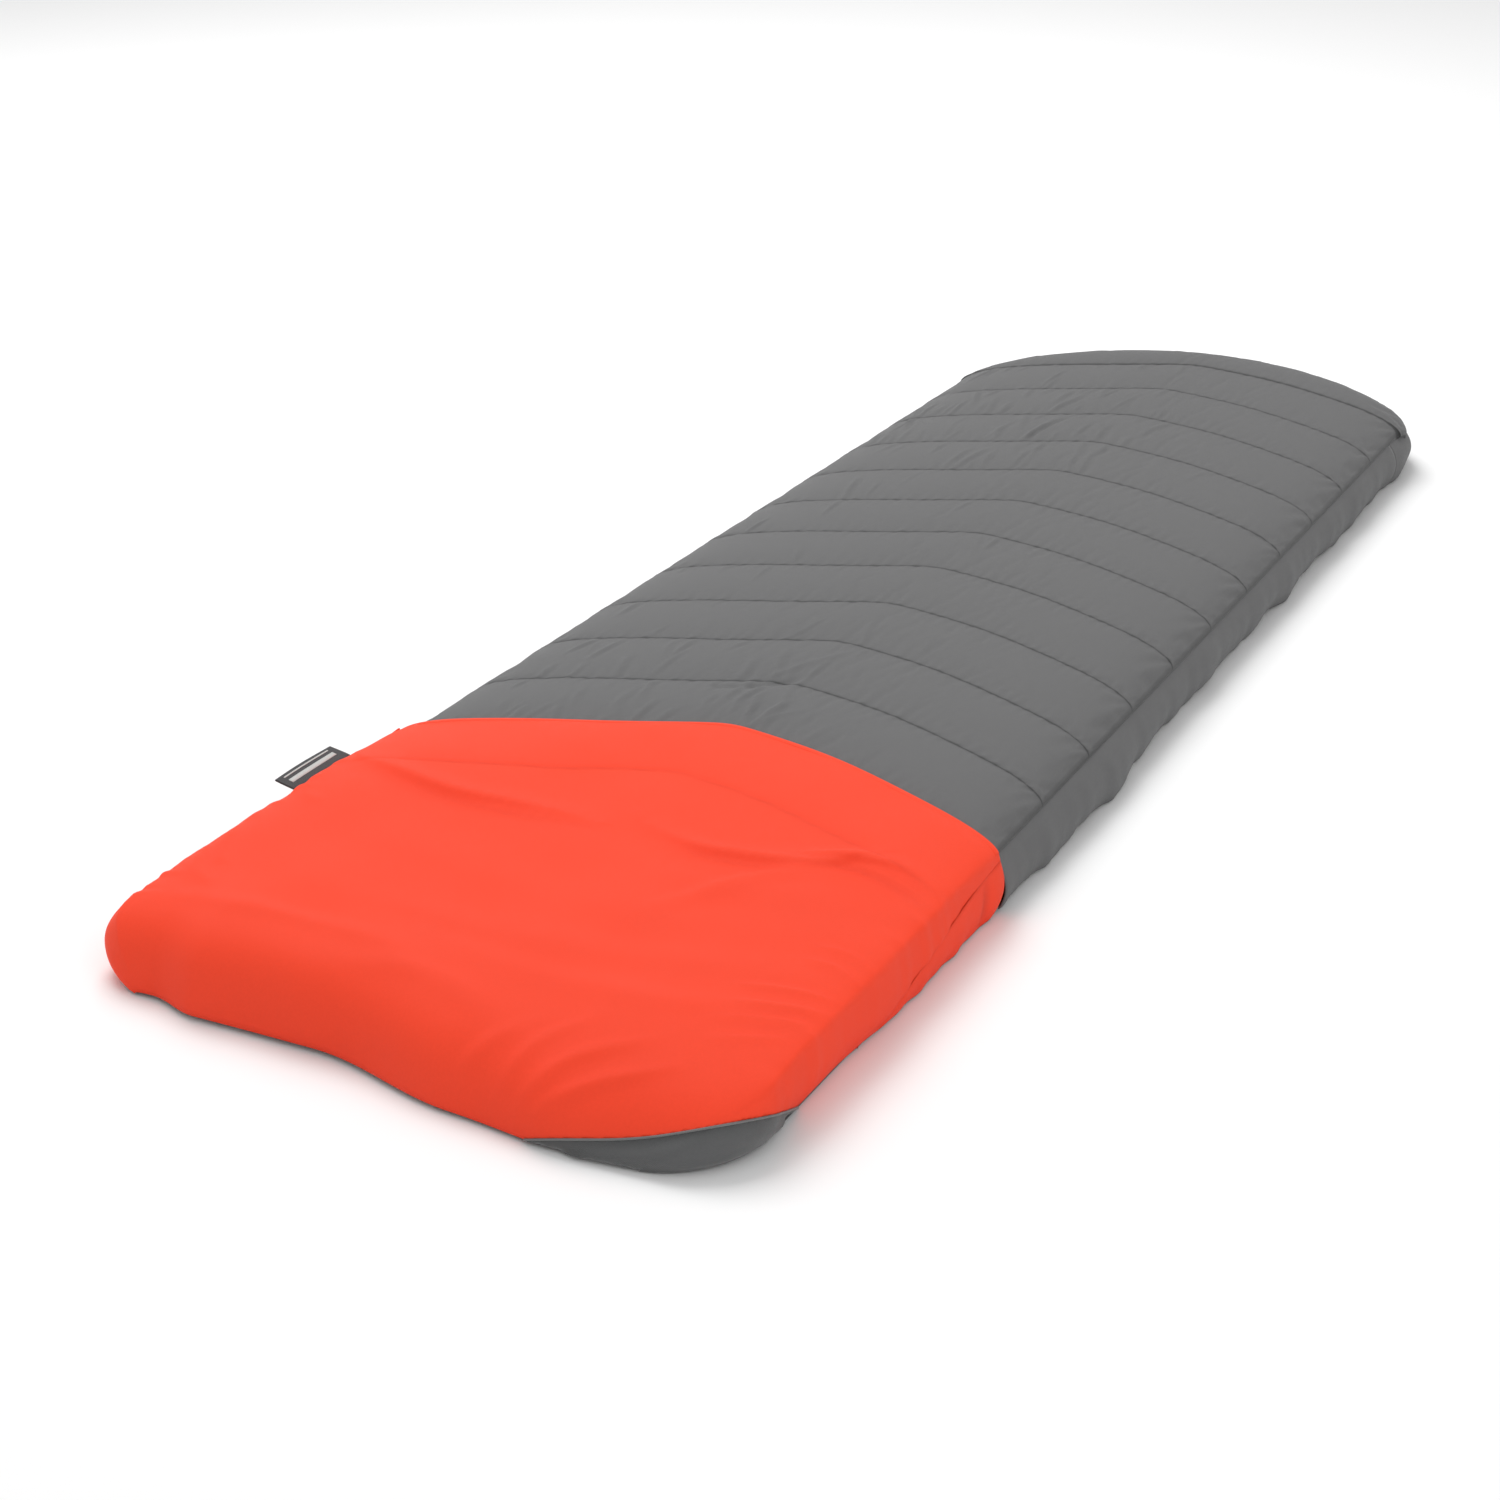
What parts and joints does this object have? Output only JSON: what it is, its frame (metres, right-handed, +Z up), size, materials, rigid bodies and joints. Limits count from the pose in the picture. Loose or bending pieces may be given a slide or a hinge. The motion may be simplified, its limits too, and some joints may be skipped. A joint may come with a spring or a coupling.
{
  "type": "quilted sleeping pad cover on a pad",
  "caption": "Flat camping sleeping pad in a fitted quilted cover: chevron-quilted top, closed foot pocket, corner toe panel, open elastic underside and a twist valve at the head.",
  "frame": {"origin": "middle of the pad's underside, on the surface that it lies on", "axes": "+Y along the pad towards the head end, +X to the right side seen from the foot, +Z up"},
  "size_m": [0.6106, 1.8658, 0.0802],
  "materials": {
    "foam": "open-cell foam, matt",
    "pad_fabric": "coated polyester, satin",
    "quilt_grey": "woven polyester, soft sheen",
    "quilt_lining": "brushed polyester, matt",
    "batting": "synthetic fill, matt",
    "thread": "polyester thread, matt",
    "pocket_orange": "woven polyester, soft sheen",
    "stretch_grey": "stretch knit, matt",
    "piping": "woven tape, matt",
    "hem_elastic": "braided elastic, matt",
    "edge_elastic": "folded elastic tape, matt",
    "label": "damask woven tape, matt",
    "valve_plastic": "moulded nylon, fine grain",
    "plunger_plastic": "moulded acetal, smooth",
    "seal": "silicone, matt"
  },
  "bodies": {
    "dressed_pad": {"pad_foam_core": "foam", "pad_top_skin": "pad_fabric", "pad_base_skin": "pad_fabric", "quilt_lining": "quilt_lining", "quilt_fill": "batting", "quilt_shell": "quilt_grey", "quilt_stitching": "thread", "right_gusset": "quilt_grey", "left_gusset": "quilt_grey", "head_gusset": "quilt_grey", "foot_top_panel": "pocket_orange", "foot_right_gore": "pocket_orange", "foot_left_gore": "pocket_orange", "pocket_edge_binding": "pocket_orange", "toe_corner_panel": "stretch_grey", "toe_corner_piping": "piping", "foot_base_panel": "stretch_grey", "base_panel_elastic": "edge_elastic", "right_hem": "quilt_grey", "left_hem": "quilt_grey", "head_hem": "quilt_grey", "right_hem_elastic": "hem_elastic", "left_hem_elastic": "hem_elastic", "head_hem_elastic": "hem_elastic", "valve_port_patch": "stretch_grey", "valve_base": "valve_plastic"},
    "label": {"label_loop": "label"},
    "collar": {"valve_collar": "valve_plastic"},
    "plunger": {"valve_plunger": "plunger_plastic", "valve_seal": "seal"}
  },
  "joints": [
    {"name": "label_flex", "type": "hinge", "parent": "dressed_pad", "child": "label", "pos_m": [-0.2932, -0.565, 0.051], "axis": [0, 1, 0], "range_deg": [-40, 60]},
    {"name": "valve_turn", "type": "hinge", "parent": "dressed_pad", "child": "collar", "pos_m": [-0.06, 0.92711, 0.027], "axis": [0, 1, 0], "range_deg": [0, 90]},
    {"name": "plunger_travel", "type": "slide", "parent": "dressed_pad", "child": "plunger", "axis": [0, -1, 0], "range_m": [0, 0.003]}
  ],
  "couplings": [
    {"joint": "plunger_travel", "follows": "valve_turn", "m_per_rad": 0.0019098}
  ]
}
